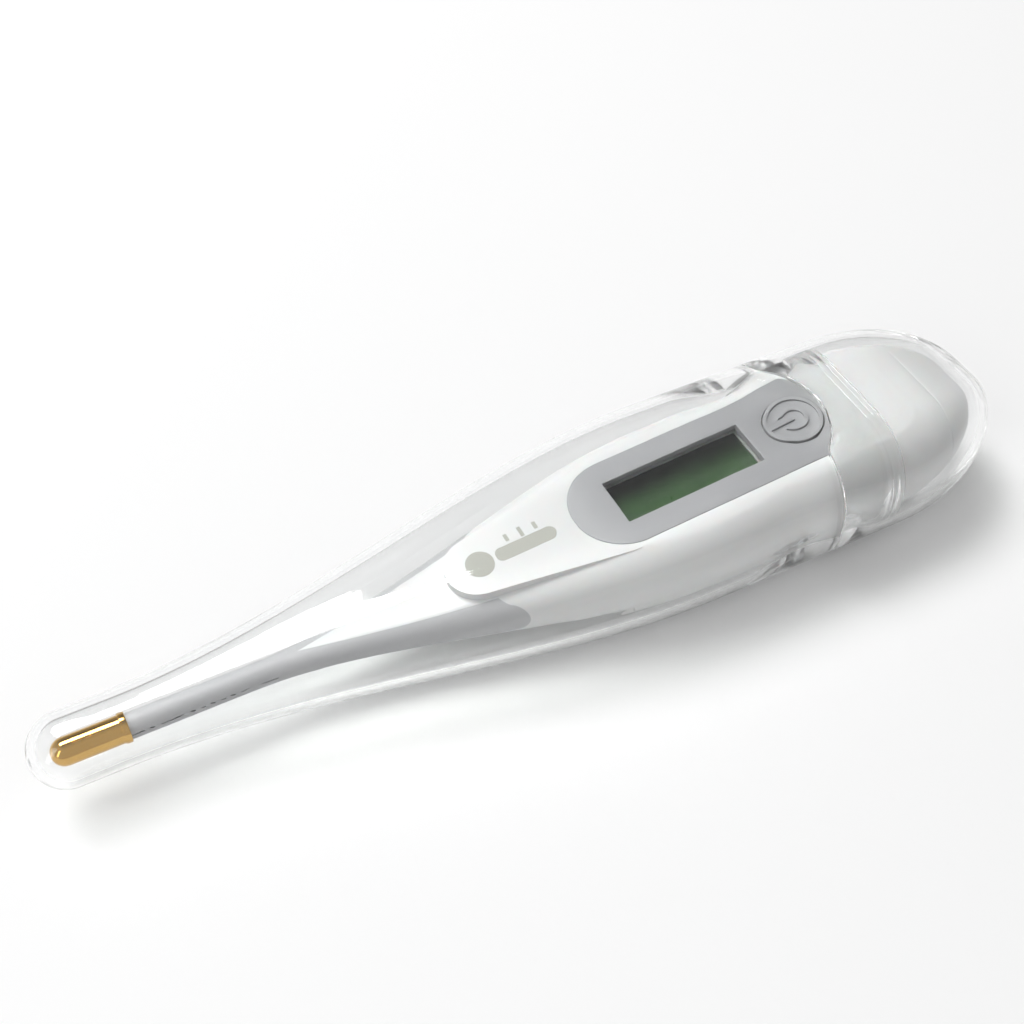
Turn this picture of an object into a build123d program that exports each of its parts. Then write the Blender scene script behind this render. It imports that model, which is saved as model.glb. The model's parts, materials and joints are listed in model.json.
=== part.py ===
from build123d import *

import os
from math import cos, radians, sin, sqrt

# A digital thermometer with a flexible probe, lying in its clear two-part travel case.
# X runs along the length with the probe tip at -X, Y across, Z up. The case lies on Z = 0
# and the origin is under the middle of its box. All sizes are in millimetres.

os.makedirs("parts", exist_ok=True)

# ---- travel case: outer form ----
CASE_LENGTH = 147.6
CASE_WIDTH = 31.2
CASE_HEIGHT = 21.6
CASE_TIP_RADIUS = 5.0
CASE_TIP_AXIS_Z = 8.7
CASE_REST_CUT = 0.25  # how far the belly is cut back to make the flat it lies on
CASE_FLARE_START = 11.0  # from the tip end to where the case starts to widen
CASE_FLARE_LENGTH = 82.0
CASE_DOME_LENGTH = 22.4
CASE_TIP_LEDGE = 0.04  # the straight tip stands in this far where the flare begins
TIP_ROUNDNESS = 0.995  # corner radius as a share of the smaller half size
BODY_ROUNDNESS = 0.9

# ---- travel case: walls and the joint between sleeve and cap ----
SLEEVE_WALL = 1.2
NECK_ROOT = 2.0  # how far ahead of the rim the inside steps in to the neck
CAP_WALL = 1.1
CAP_DOME_WALL = 1.4
FIT_GAP = 0.2
NECK_WALL = 0.85
NECK_LENGTH = 11.2
RIM_FROM_REAR = 35.5  # from the rear end to the cap's rim on the sides
RIM_GAP = 0.12
TAB_RADIUS = 10.9  # round tongue of the sleeve that reaches into the cap on top
TAB_RISE = 4.3
GRIP_BEAD_WIDTH = 0.5
GRIP_BEAD_HEIGHT = 0.12
GRIP_BEAD_PITCH = 1.1

# ---- thermometer body: outer form ----
BODY_WIDTH = 26.2
BODY_BOTTOM_Z = 3.0
PROBE_AXIS_Z = 8.3
PROBE_DIAMETER = 3.5
BODY_FLARE_START_X = -44.8
BODY_FLARE_LENGTH = 66.0
BODY_END_GAP = 2.1  # from the inside of the case dome to the end of the body
BODY_DOME_LENGTH = 19.0
BODY_WALL = 1.4
FACE_TILT = 5.0
FACE_Z = 14.055  # height of the sloping face above the origin
FACE_CUT = 0.6  # how far the face plane cuts below the rounded top

# ---- sloping face: panel, window and button ----
PANEL_START = 3.4
PANEL_END = 44.8
PANEL_WIDTH = 15.0
PANEL_END_RADIUS = 9.6
PANEL_DEPTH = 0.9
PANEL_PROUD = 0.1
WINDOW_CENTRE = 21.18
WINDOW_LENGTH = 22.4
WINDOW_WIDTH = 7.4
LENS_BORDER = 0.6
LENS_THICKNESS = 1.1
FACE_WALL = 2.3
TONGUE_NOSE = -16.1
TONGUE_NOSE_RADIUS = 4.7
TONGUE_ROOT = 9.2
TONGUE_ROOT_RADIUS = 8.2
TONGUE_DEPTH = 2.4
BUTTON_CENTRE = 39.1
BUTTON_DIAMETER = 7.9
BUTTON_CLEARANCE = 0.1
BUTTON_PROUD = 0.3
BUTTON_TRAVEL = 0.5
BUTTON_STEM_DIAMETER = 4.0
BUTTON_RIM_WIDTH = 0.55
BUTTON_RIM_HEIGHT = 0.25
POWER_RING_RADIUS = 1.7
POWER_LINE_WIDTH = 0.5
POWER_GAP_HALF_ANGLE = 38.0

# ---- soft grip and probe ----
GRIP_SKIN = 1.3
GRIP_CORE_START_X = -34.8
GRIP_END_X = -7.7
GRIP_END_RADIUS = 2.1
GRIP_END_Z = 9.2
GRIP_KEEL_X = -36.8
PROW_APEX_X = -37.8
PROW_END_X = -10.8
PROW_END_HALF_WIDTH = 5.2
PROW_FLOOR_Z = 8.5
PROBE_FLEX_X = -42.8
PROBE_BALL_RADIUS = 1.3
PROBE_BALL_CLEARANCE = 0.08
PROBE_FLEX_GAP = 0.15
PROBE_BORE = 1.6
TIP_END_X = -71.0
TIP_REAR_X = -61.0
TIP_DIAMETER = 3.8
TIP_WALL = 0.22
TIP_BEAD_RADIUS = 2.08
TIP_BEAD_WIDTH = 0.9
STEM_SPIGOT_LENGTH = 3.0
FILL_CLEARANCE = 0.03
BEAD_RADIUS = 0.85
BEAD_FROM_END = 1.9
LEAD_DIAMETER = 0.44
LEAD_SPACING = 0.9

# ---- inside the body ----
CAVITY_START_X = -8.8
BODY_SPLIT_FROM_END = 10.2  # battery cover length
COVER_SKIRT_LENGTH = 3.9
COVER_SKIRT_WALL = 1.0
COVER_GAP = 0.2
SEAL_WIDTH = 1.0
SEAL_DEPTH = 0.6
SEAL_INSET = 0.6
CARRIER_TOP = 2.35  # depths below the sloping face
DISPLAY_LENGTH = 25.0
DISPLAY_WIDTH = 11.0
DISPLAY_THICKNESS = 1.7
DISPLAY_SEAT_GAP = 0.05
REFLECTOR_THICKNESS = 0.12
BOARD_DEPTH = 6.0
BOARD_THICKNESS = 0.8
BOARD_START = 3.8
BOARD_END = 51.4
BOARD_WIDTH = 16.0
CARRIER_START = 4.6
CARRIER_END = 35.0
CARRIER_WIDTH = 14.2
STRIP_WIDTH = 1.2
STRIP_OFFSET = 4.4
STRIP_LENGTH = 22.0
SCREW_CENTRE = 6.6
SCREW_OFFSET = 4.5
SCREW_CORE_DIAMETER = 1.4
SCREW_HEAD_DIAMETER = 2.5
SCREW_HEAD_HEIGHT = 0.8
SCREW_LENGTH = 3.0
DOME_SWITCH_DIAMETER = 5.0
DOME_SWITCH_HEIGHT = 0.5
DOME_SWITCH_SHEET = 0.1
BLOB_CENTRE = 20.2
BLOB_DIAMETER = 7.0
BLOB_HEIGHT = 1.0
CRYSTAL_CENTRE = 32.2
CRYSTAL_DIAMETER = 2.0
CRYSTAL_LENGTH = 6.0
CHIP_SIZE = (1.6, 0.8, 0.6)
CHIP_PLACES = [(11.2, 5.0), (14.7, -5.5), (27.2, 5.2), (42.2, -4.0)]
BUZZER_X = 28.2
BUZZER_DIAMETER = 13.0
BUZZER_SHEET = 0.25
CERAMIC_DIAMETER = 9.0
CERAMIC_SHEET = 0.2
BUZZER_SEAT_HEIGHT = 0.8
BUZZER_LEAD_SPACING = 5.6
CELL_X = 54.9
CELL_DIAMETER = 7.9
CELL_HEIGHT = 3.6
CELL_BOTTOM_Z = 7.4
CELL_CLEARANCE = 0.1
CONTACT_SHEET = 0.2
CONTACT_WIDTH = 4.0
TRAY_LENGTH = 10.0
TRAY_WIDTH = 11.0
TRAY_FLOOR_Z = 6.7
TRAY_END_WALL = 2.0

# ---- places worked out from the sizes above ----
CASE_TIP_X = -CASE_LENGTH / 2
CASE_REAR_X = CASE_LENGTH / 2
RIM_X = CASE_REAR_X - RIM_FROM_REAR
NECK_END_X = RIM_X + NECK_LENGTH
NECK_INSET = CAP_WALL + FIT_GAP
BODY_END_X = CASE_REAR_X - CAP_DOME_WALL - BODY_END_GAP
BODY_SPLIT_X = BODY_END_X - BODY_SPLIT_FROM_END
WIDE = 40.0  # half size of blocks that only cut
TILT_SIN = sin(radians(FACE_TILT))
TILT_COS = cos(radians(FACE_TILT))
face = Plane(origin=(0, 0, FACE_Z), x_dir=(TILT_COS, 0, TILT_SIN), z_dir=(-TILT_SIN, 0, TILT_COS))
across = Plane.YZ


def ease(x, start, length):
    """Share from 0 to 1 that leaves and arrives smoothly along a flare."""
    share = min(max((x - start) / length, 0.0), 1.0)
    return share * share * (3 - 2 * share)


def mix(low, high, share):
    """Value that lies the given share of the way from low to high."""
    return low + (high - low) * share


def face_height(x):
    """Height of the sloping face plane at a place along the length."""
    return FACE_Z + x * TILT_SIN / TILT_COS


def dome_places(start, end):
    """Stations along a round end, crowded towards its closed end."""
    return [start + (end - start) * sin(radians(angle)) for angle in (9, 20, 32, 44, 56, 67, 76, 83)]


def settled_places(start, end):
    """Stations along a straight stretch, crowded at both ends so that the skin runs true."""
    return [start + (end - start) * share for share in (0.08, 0.2, 0.5, 0.8, 0.92)]


def dome_share(x, start, end):
    """Size of a round end at a station, from 1 where it starts to 0 where it closes."""
    return sqrt(1 - min(max((x - start) / (end - start), 0.0), 1.0) ** 2)


def rounded_section(x, half_width, bottom, top, roundness):
    """One rounded section standing across the length."""
    radius = roundness * min(half_width, (top - bottom) / 2)
    with BuildSketch(across.offset(x)) as section:
        with Locations((0, (bottom + top) / 2)):
            RectangleRounded(2 * half_width, top - bottom, radius)
    return section.sketch


def rod(diameter, start_x, end_x, side=0.0, height=PROBE_AXIS_Z):
    """Round bar along the length."""
    with BuildPart() as bar:
        with BuildSketch(across.offset(start_x)):
            with Locations((side, height)):
                Circle(diameter / 2)
        extrude(amount=end_x - start_x)
    return bar.part


def ball(radius, x, height=PROBE_AXIS_Z):
    """Ball on the middle plane."""
    with BuildPart() as sphere:
        with Locations((x, 0, height)):
            Sphere(radius)
    return sphere.part


def case_section(x, side_inset, tip_inset, rear_inset):
    """Half width, bottom, top and roundness of the case at a station, moved in by a wall."""
    share = ease(x, CASE_TIP_X + CASE_FLARE_START, CASE_FLARE_LENGTH)
    inset = mix(tip_inset, side_inset, share)
    half_width = mix(CASE_TIP_RADIUS, CASE_WIDTH / 2, share) - inset
    bottom = mix(CASE_TIP_AXIS_Z - CASE_TIP_RADIUS, -CASE_REST_CUT, share) + inset
    top = mix(CASE_TIP_AXIS_Z + CASE_TIP_RADIUS, CASE_HEIGHT, share) - inset
    size = dome_share(x, CASE_REAR_X - CASE_DOME_LENGTH, CASE_REAR_X - rear_inset)
    middle = (bottom + top) / 2
    half_height = (top - bottom) / 2
    roundness = mix(TIP_ROUNDNESS, BODY_ROUNDNESS, share)
    return half_width * size, middle - half_height * size, middle + half_height * size, roundness


def sleeve_form(side_inset, tip_inset, end_x):
    """Solid from the closed tip of the case to a flat end, moved in by the given walls."""
    flare_x = CASE_TIP_X + CASE_FLARE_START
    dome_x = CASE_TIP_X + CASE_TIP_RADIUS - CASE_TIP_LEDGE
    radius = CASE_TIP_RADIUS - CASE_TIP_LEDGE - tip_inset
    places = [flare_x + CASE_FLARE_LENGTH * step / 12 for step in range(13)]
    places += settled_places(flare_x + CASE_FLARE_LENGTH, end_x) + [end_x]
    sections = [rounded_section(x, *case_section(x, side_inset, tip_inset, 0)) for x in places]
    with BuildPart() as form:
        loft(sections)
        add(rod(2 * radius, dome_x, flare_x, height=CASE_TIP_AXIS_Z))
        add(ball(radius, dome_x, height=CASE_TIP_AXIS_Z))
    return form.part


def cap_form(side_inset, rear_inset, start_x):
    """Solid from a flat end to the closed dome of the case, moved in by the given walls."""
    dome_x = CASE_REAR_X - CASE_DOME_LENGTH
    places = [start_x] + settled_places(start_x, dome_x) + [dome_x]
    places += dome_places(dome_x, CASE_REAR_X - rear_inset)
    sections = [rounded_section(x, *case_section(x, side_inset, 0, rear_inset)) for x in sorted(places)]
    with BuildPart() as form:
        loft(sections)
    return form.part


def body_section(x, inset):
    """Half width, bottom, top and roundness of the thermometer body at a station."""
    share = ease(x, BODY_FLARE_START_X, BODY_FLARE_LENGTH)
    radius = PROBE_DIAMETER / 2
    half_width = mix(radius, BODY_WIDTH / 2, share) - inset
    bottom = mix(PROBE_AXIS_Z - radius, BODY_BOTTOM_Z, share) + inset
    dome_x = BODY_END_X - BODY_DOME_LENGTH
    rounded_top = face_height(min(x, dome_x)) + FACE_CUT
    top = mix(PROBE_AXIS_Z + radius, rounded_top, share) - inset
    size = dome_share(x, dome_x, BODY_END_X - inset)
    middle = (bottom + top) / 2
    half_height = (top - bottom) / 2
    roundness = mix(TIP_ROUNDNESS, BODY_ROUNDNESS, share)
    return half_width * size, middle - half_height * size, middle + half_height * size, roundness


def body_form(inset, start_x, end_x):
    """Solid of the body between two stations, closed by its dome where it reaches that far."""
    dome_x = BODY_END_X - BODY_DOME_LENGTH
    flare_end_x = BODY_FLARE_START_X + BODY_FLARE_LENGTH
    places = [BODY_FLARE_START_X + BODY_FLARE_LENGTH * step / 12 for step in range(13)]
    places += settled_places(flare_end_x, dome_x) + [dome_x]
    places += dome_places(dome_x, BODY_END_X - inset)
    closed_x = min(end_x, places[-1])
    places = [place for place in places if start_x + 1 < place < closed_x - 0.3]
    places = [start_x] + places + [closed_x]
    sections = [rounded_section(x, *body_section(x, inset)) for x in places]
    with BuildPart() as form:
        loft(sections)
    return form.part


def slab(start_x, end_x):
    """Wide block between two stations, used to keep or cut a stretch of the length."""
    with BuildPart() as block:
        with BuildSketch(across.offset(start_x)):
            Rectangle(2 * WIDE, 2 * WIDE)
        extrude(amount=end_x - start_x)
    return block.part


def cap_side(gap):
    """Everything on the cap's side of the parting line, which goes round the tab on top."""
    with BuildPart() as zone:
        with BuildSketch(Plane.XY.offset(-WIDE)):
            with Locations((RIM_X + gap + WIDE, 0)):
                Rectangle(2 * WIDE, 2 * WIDE)
        extrude(amount=2 * WIDE)
        with BuildSketch(Plane.XY.offset(CASE_HEIGHT / 2)):
            with Locations((RIM_X + TAB_RISE - TAB_RADIUS, 0)):
                Circle(TAB_RADIUS + gap)
        extrude(amount=WIDE, mode=Mode.SUBTRACT)
    return zone.part


def panel_outline():
    """Outline of the grey panel: a half round front end and a flatter arc behind the button."""
    half = PANEL_WIDTH / 2
    front = PANEL_START + half
    rear = PANEL_END - PANEL_END_RADIUS + sqrt(PANEL_END_RADIUS**2 - half**2)
    with BuildSketch() as outline:
        with BuildLine():
            Line((front, half), (rear, half))
            ThreePointArc((rear, half), (PANEL_END, 0), (rear, -half))
            Line((rear, -half), (front, -half))
            ThreePointArc((front, -half), (PANEL_START, 0), (front, half))
        make_face()
    return outline.sketch


def neck_form():
    """Solid of the sleeve's neck, which the cap slides over, with its two grip beads."""
    start_x = RIM_X - TAB_RADIUS
    with BuildPart() as neck:
        add(cap_form(NECK_INSET, CAP_DOME_WALL, start_x))
        add(slab(start_x, NECK_END_X), mode=Mode.INTERSECT)
        for step in (1, 2):
            bead_x = NECK_END_X - step * GRIP_BEAD_PITCH
            bead = rounded_section(bead_x, *case_section(bead_x, NECK_INSET - GRIP_BEAD_HEIGHT, 0, 0))
            extrude(bead, amount=GRIP_BEAD_WIDTH)
    return neck.part


# ---- thermometer body: pieces shared by several solids ----
def grip_zone():
    """Everything that belongs to the soft grip: a side band that swallows the whole nose."""
    arc_x = GRIP_END_X - GRIP_END_RADIUS
    low = GRIP_END_Z - GRIP_END_RADIUS
    high = GRIP_END_Z + GRIP_END_RADIUS
    probe_bottom = PROBE_AXIS_Z - PROBE_DIAMETER / 2
    with BuildPart() as zone:
        with BuildSketch(Plane.XZ.offset(-WIDE)):
            with BuildLine():
                Polyline(
                    (arc_x, high),
                    (TONGUE_NOSE, FACE_Z),
                    (BODY_FLARE_START_X, FACE_Z),
                    (BODY_FLARE_START_X, 0),
                    (GRIP_KEEL_X - 1, 0),
                    (GRIP_KEEL_X, probe_bottom),
                    (arc_x, low),
                )
                ThreePointArc((arc_x, low), (GRIP_END_X, GRIP_END_Z), (arc_x, high))
            make_face()
        extrude(amount=2 * WIDE)
        with BuildSketch(Plane.XY.offset(PROW_FLOOR_Z)):
            with BuildLine():
                Polyline(
                    (PROW_APEX_X, 0),
                    (PROW_END_X, PROW_END_HALF_WIDTH),
                    (PROW_END_X, -PROW_END_HALF_WIDTH),
                    close=True,
                )
            make_face()
        extrude(amount=WIDE, mode=Mode.SUBTRACT)
        add(tongue_block(), mode=Mode.SUBTRACT)
        add(body_form(GRIP_SKIN, GRIP_CORE_START_X, BODY_SPLIT_X), mode=Mode.SUBTRACT)
    return zone.part


def tongue_block():
    """Raised white tongue in front of the panel, level with the sloping face."""
    with BuildPart() as tongue:
        with BuildSketch(face.offset(-TONGUE_DEPTH)):
            with Locations((TONGUE_NOSE + TONGUE_NOSE_RADIUS, 0)):
                Circle(TONGUE_NOSE_RADIUS)
            with Locations((TONGUE_ROOT, 0)):
                Circle(TONGUE_ROOT_RADIUS)
            make_hull()
        extrude(amount=TONGUE_DEPTH)
    return tongue.part


def skirt_form(inset, start_x, end_x):
    """Straight plug with the shape of the body's mouth, moved in by a wall."""
    with BuildPart() as plug:
        extrude(rounded_section(start_x, *body_section(BODY_SPLIT_X, inset)), amount=end_x - start_x)
    return plug.part


def body_cavity():
    """Hollow of the thermometer body, flat under the sloping face."""
    with BuildPart() as hollow:
        add(body_form(BODY_WALL, CAVITY_START_X, BODY_END_X))
        split(bisect_by=face.offset(-FACE_WALL), keep=Keep.BOTTOM)
    return hollow.part


def face_block(length, width, top, bottom, centre=0.0, side=0.0):
    """Block between two depths below the sloping face."""
    with BuildPart() as block:
        with BuildSketch(face.offset(-bottom)):
            with Locations((centre, side)):
                Rectangle(length, width)
        extrude(amount=bottom - top)
    return block.part


def face_disc(diameter, top, bottom, centre, side=0.0):
    """Round block between two depths below the sloping face."""
    with BuildPart() as disc:
        with BuildSketch(face.offset(-bottom)):
            with Locations((centre, side)):
                Circle(diameter / 2)
        extrude(amount=bottom - top)
    return disc.part


def face_panel_block(top, bottom):
    """Block with the panel's outline between two depths below the sloping face."""
    with BuildPart() as block:
        with BuildSketch(face.offset(-bottom)):
            add(panel_outline())
        extrude(amount=bottom - top)
    return block.part


def plate(length, width, height, x, y, low_z):
    """Upright block from its middle in plan and its lowest height."""
    with BuildPart() as block:
        with BuildSketch(Plane.XY.offset(low_z)):
            with Locations((x, y)):
                Rectangle(length, width)
        extrude(amount=height)
    return block.part


def post(diameter, height, x, y, low_z):
    """Upright round bar from its middle in plan and its lowest height."""
    with BuildPart() as bar:
        with BuildSketch(Plane.XY.offset(low_z)):
            with Locations((x, y)):
                Circle(diameter / 2)
        extrude(amount=height)
    return bar.part


# ---- travel case ----
with BuildPart() as case_sleeve:
    add(sleeve_form(0, 0, NECK_END_X))
    add(cap_side(0), mode=Mode.SUBTRACT)
    add(neck_form())
    add(sleeve_form(SLEEVE_WALL, SLEEVE_WALL, RIM_X - NECK_ROOT), mode=Mode.SUBTRACT)
    bore_start_x = RIM_X - NECK_ROOT - 1
    neck_bore = rounded_section(bore_start_x, *case_section(bore_start_x, NECK_INSET + NECK_WALL, 0, 0))
    extrude(neck_bore, amount=NECK_END_X + 1 - bore_start_x, mode=Mode.SUBTRACT)
    split(bisect_by=Plane.XY, keep=Keep.TOP)
case_sleeve.part.label = "case_sleeve"
export_step(case_sleeve.part, "parts/case_sleeve.step")

with BuildPart() as case_cap:
    add(cap_form(0, 0, RIM_X - TAB_RADIUS))
    add(cap_form(CAP_WALL, CAP_DOME_WALL, RIM_X - TAB_RADIUS), mode=Mode.SUBTRACT)
    add(cap_side(RIM_GAP), mode=Mode.INTERSECT)
    split(bisect_by=Plane.XY, keep=Keep.TOP)
case_cap.part.label = "case_cap"
export_step(case_cap.part, "parts/case_cap.step")

# ---- thermometer body: outer shells ----
LENS_TOP = PANEL_DEPTH
LENS_BOTTOM = LENS_TOP + LENS_THICKNESS
BUTTON_POCKET_DEPTH = PANEL_DEPTH + BUTTON_TRAVEL + BUTTON_CLEARANCE
BUTTON_POCKET_DIAMETER = BUTTON_DIAMETER + 2 * BUTTON_CLEARANCE
BUZZER_FLOOR_Z = BODY_BOTTOM_Z + BODY_WALL
BUZZER_SEAT_Z = BUZZER_FLOOR_Z + BUZZER_SEAT_HEIGHT

with BuildPart() as main_housing:
    add(body_form(0, BODY_FLARE_START_X, BODY_END_X))
    split(bisect_by=face, keep=Keep.BOTTOM)
    add(tongue_block())
    add(slab(GRIP_KEEL_X - WIDE, BODY_SPLIT_X), mode=Mode.INTERSECT)
    add(grip_zone(), mode=Mode.SUBTRACT)
    add(body_cavity(), mode=Mode.SUBTRACT)
    add(rod(PROBE_BORE, PROBE_FLEX_X, CAVITY_START_X + 1), mode=Mode.SUBTRACT)
    add(face_panel_block(-1, PANEL_DEPTH), mode=Mode.SUBTRACT)
    lens_length = WINDOW_LENGTH + 2 * LENS_BORDER
    lens_width = WINDOW_WIDTH + 2 * LENS_BORDER
    add(face_block(lens_length, lens_width, 0, LENS_BOTTOM, WINDOW_CENTRE), mode=Mode.SUBTRACT)
    add(face_block(WINDOW_LENGTH, WINDOW_WIDTH, 0, FACE_WALL + 1, WINDOW_CENTRE), mode=Mode.SUBTRACT)
    add(face_disc(BUTTON_POCKET_DIAMETER, 0, BUTTON_POCKET_DEPTH, BUTTON_CENTRE), mode=Mode.SUBTRACT)
    stem_hole = BUTTON_STEM_DIAMETER + 4 * BUTTON_CLEARANCE
    add(face_disc(stem_hole, 0, FACE_WALL + 1, BUTTON_CENTRE), mode=Mode.SUBTRACT)
    seat_diameter = BUZZER_DIAMETER - 1
    add(post(seat_diameter, BUZZER_SEAT_HEIGHT + BODY_WALL / 2, BUZZER_X, 0, BUZZER_FLOOR_Z - BODY_WALL / 2))
    ring_hole = CERAMIC_DIAMETER + 1
    add(post(ring_hole, BUZZER_SEAT_HEIGHT, BUZZER_X, 0, BUZZER_FLOOR_Z), mode=Mode.SUBTRACT)
main_housing.part.label = "main_housing"
export_step(main_housing.part, "parts/main_housing.step")

with BuildPart() as battery_cover:
    add(body_form(0, BODY_FLARE_START_X, BODY_END_X))
    split(bisect_by=face, keep=Keep.BOTTOM)
    add(slab(BODY_SPLIT_X, BODY_END_X), mode=Mode.INTERSECT)
    add(skirt_form(BODY_WALL + COVER_GAP, BODY_SPLIT_X - COVER_SKIRT_LENGTH, BODY_SPLIT_X))
    hollow_inset = BODY_WALL + COVER_GAP + COVER_SKIRT_WALL
    add(skirt_form(hollow_inset, BODY_SPLIT_X - COVER_SKIRT_LENGTH, BODY_SPLIT_X), mode=Mode.SUBTRACT)
    add(body_form(hollow_inset, BODY_SPLIT_X - 1, BODY_END_X), mode=Mode.SUBTRACT)
    groove_x = BODY_SPLIT_X - SEAL_INSET - SEAL_WIDTH
    add(slab(groove_x, groove_x + SEAL_WIDTH), mode=Mode.SUBTRACT)
    add(skirt_form(BODY_WALL + SEAL_DEPTH, groove_x, groove_x + SEAL_WIDTH))
    add(skirt_form(hollow_inset, groove_x, groove_x + SEAL_WIDTH), mode=Mode.SUBTRACT)
battery_cover.part.label = "battery_cover"
export_step(battery_cover.part, "parts/battery_cover.step")

with BuildPart() as cover_seal:
    add(skirt_form(BODY_WALL + COVER_GAP / 4, groove_x, groove_x + SEAL_WIDTH))
    add(skirt_form(BODY_WALL + SEAL_DEPTH, groove_x, groove_x + SEAL_WIDTH), mode=Mode.SUBTRACT)
cover_seal.part.label = "cover_seal"
export_step(cover_seal.part, "parts/cover_seal.step")

# ---- soft grip, flexible probe and metal tip ----
with BuildPart() as grip_sheath:
    add(body_form(0, BODY_FLARE_START_X, 0))
    add(grip_zone(), mode=Mode.INTERSECT)
    add(slab(PROBE_FLEX_X, 0), mode=Mode.INTERSECT)
    add(ball(PROBE_BALL_RADIUS + PROBE_BALL_CLEARANCE, PROBE_FLEX_X), mode=Mode.SUBTRACT)
    add(rod(PROBE_BORE, BODY_FLARE_START_X, GRIP_CORE_START_X + 1), mode=Mode.SUBTRACT)
grip_sheath.part.label = "grip_sheath"
export_step(grip_sheath.part, "parts/grip_sheath.step")

TIP_BORE = TIP_DIAMETER - 2 * TIP_WALL
SPIGOT_DIAMETER = TIP_BORE - 2 * FILL_CLEARANCE
SPIGOT_START_X = TIP_REAR_X - STEM_SPIGOT_LENGTH
with BuildPart() as probe_stem:
    add(rod(PROBE_DIAMETER, TIP_REAR_X, PROBE_FLEX_X - PROBE_FLEX_GAP))
    add(rod(SPIGOT_DIAMETER, SPIGOT_START_X, TIP_REAR_X))
    add(ball(PROBE_BALL_RADIUS, PROBE_FLEX_X))
    add(rod(PROBE_BORE, SPIGOT_START_X, BODY_FLARE_START_X + 2 * PROBE_DIAMETER), mode=Mode.SUBTRACT)
probe_stem.part.label = "probe_stem"
export_step(probe_stem.part, "parts/probe_stem.step")

TIP_NOSE_X = TIP_END_X + TIP_DIAMETER / 2
with BuildPart() as metal_tip:
    add(rod(TIP_DIAMETER, TIP_NOSE_X, TIP_REAR_X))
    add(ball(TIP_DIAMETER / 2, TIP_NOSE_X))
    add(rod(2 * TIP_BEAD_RADIUS, TIP_REAR_X - TIP_BEAD_WIDTH, TIP_REAR_X))
    fillet(metal_tip.edges().filter_by(GeomType.CIRCLE).group_by(SortBy.RADIUS)[-1], TIP_BEAD_WIDTH / 8)
    add(rod(TIP_BORE, TIP_NOSE_X, TIP_REAR_X), mode=Mode.SUBTRACT)
    add(ball(TIP_BORE / 2, TIP_NOSE_X), mode=Mode.SUBTRACT)
metal_tip.part.label = "metal_tip"
export_step(metal_tip.part, "parts/metal_tip.step")

SENSOR_X = TIP_END_X + BEAD_FROM_END
with BuildPart() as thermistor_bead:
    add(ball(BEAD_RADIUS, SENSOR_X))
thermistor_bead.part.label = "thermistor_bead"
export_step(thermistor_bead.part, "parts/thermistor_bead.step")

BOARD_EDGE_X = BOARD_START * TILT_COS + (BOARD_DEPTH + BOARD_THICKNESS / 2) * TILT_SIN
LEAD_START_X = SENSOR_X + BEAD_RADIUS
with BuildPart() as thermistor_leads:
    for side in (-LEAD_SPACING / 2, LEAD_SPACING / 2):
        add(rod(LEAD_DIAMETER, LEAD_START_X, BOARD_EDGE_X - LEAD_DIAMETER, side))
thermistor_leads.part.label = "thermistor_leads"
export_step(thermistor_leads.part, "parts/thermistor_leads.step")

with BuildPart() as tip_potting:
    add(rod(TIP_BORE - 2 * FILL_CLEARANCE, TIP_NOSE_X, SPIGOT_START_X))
    add(ball(TIP_BORE / 2 - FILL_CLEARANCE, TIP_NOSE_X))
    add(ball(BEAD_RADIUS, SENSOR_X), mode=Mode.SUBTRACT)
    for side in (-LEAD_SPACING / 2, LEAD_SPACING / 2):
        add(rod(LEAD_DIAMETER, LEAD_START_X - BEAD_RADIUS, SPIGOT_START_X, side), mode=Mode.SUBTRACT)
tip_potting.part.label = "tip_potting"
export_step(tip_potting.part, "parts/tip_potting.step")

# ---- sloping face: panel, lens and button ----
with BuildPart() as face_panel:
    add(face_panel_block(-PANEL_PROUD, PANEL_DEPTH))
    add(face_block(WINDOW_LENGTH, WINDOW_WIDTH, -1, PANEL_DEPTH, WINDOW_CENTRE), mode=Mode.SUBTRACT)
    add(face_disc(BUTTON_POCKET_DIAMETER, -1, PANEL_DEPTH, BUTTON_CENTRE), mode=Mode.SUBTRACT)
face_panel.part.label = "face_panel"
export_step(face_panel.part, "parts/face_panel.step")

with BuildPart() as window_lens:
    add(face_block(lens_length, lens_width, LENS_TOP, LENS_BOTTOM, WINDOW_CENTRE))
window_lens.part.label = "window_lens"
export_step(window_lens.part, "parts/window_lens.step")

SWITCH_TOP = BOARD_DEPTH - DOME_SWITCH_HEIGHT
with BuildPart() as power_button:
    add(face_disc(BUTTON_DIAMETER, -BUTTON_PROUD, PANEL_DEPTH, BUTTON_CENTRE))
    rim_bore = BUTTON_DIAMETER - 2 * BUTTON_RIM_WIDTH
    add(face_disc(rim_bore, -1, BUTTON_RIM_HEIGHT - BUTTON_PROUD, BUTTON_CENTRE), mode=Mode.SUBTRACT)
    with BuildSketch(face.offset(BUTTON_PROUD - BUTTON_RIM_HEIGHT)):
        with Locations((BUTTON_CENTRE, 0)):
            Circle(POWER_RING_RADIUS + POWER_LINE_WIDTH / 2)
            Circle(POWER_RING_RADIUS - POWER_LINE_WIDTH / 2, mode=Mode.SUBTRACT)
        gap_width = 2 * POWER_RING_RADIUS * sin(radians(POWER_GAP_HALF_ANGLE))
        with Locations((BUTTON_CENTRE - POWER_RING_RADIUS, 0)):
            Rectangle(POWER_RING_RADIUS, gap_width, mode=Mode.SUBTRACT)
        with Locations((BUTTON_CENTRE - POWER_RING_RADIUS, 0)):
            Rectangle(2 * POWER_RING_RADIUS, POWER_LINE_WIDTH)
    extrude(amount=BUTTON_RIM_HEIGHT)
    add(face_disc(BUTTON_STEM_DIAMETER, PANEL_DEPTH, SWITCH_TOP - FILL_CLEARANCE, BUTTON_CENTRE))
power_button.part.label = "power_button"
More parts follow.
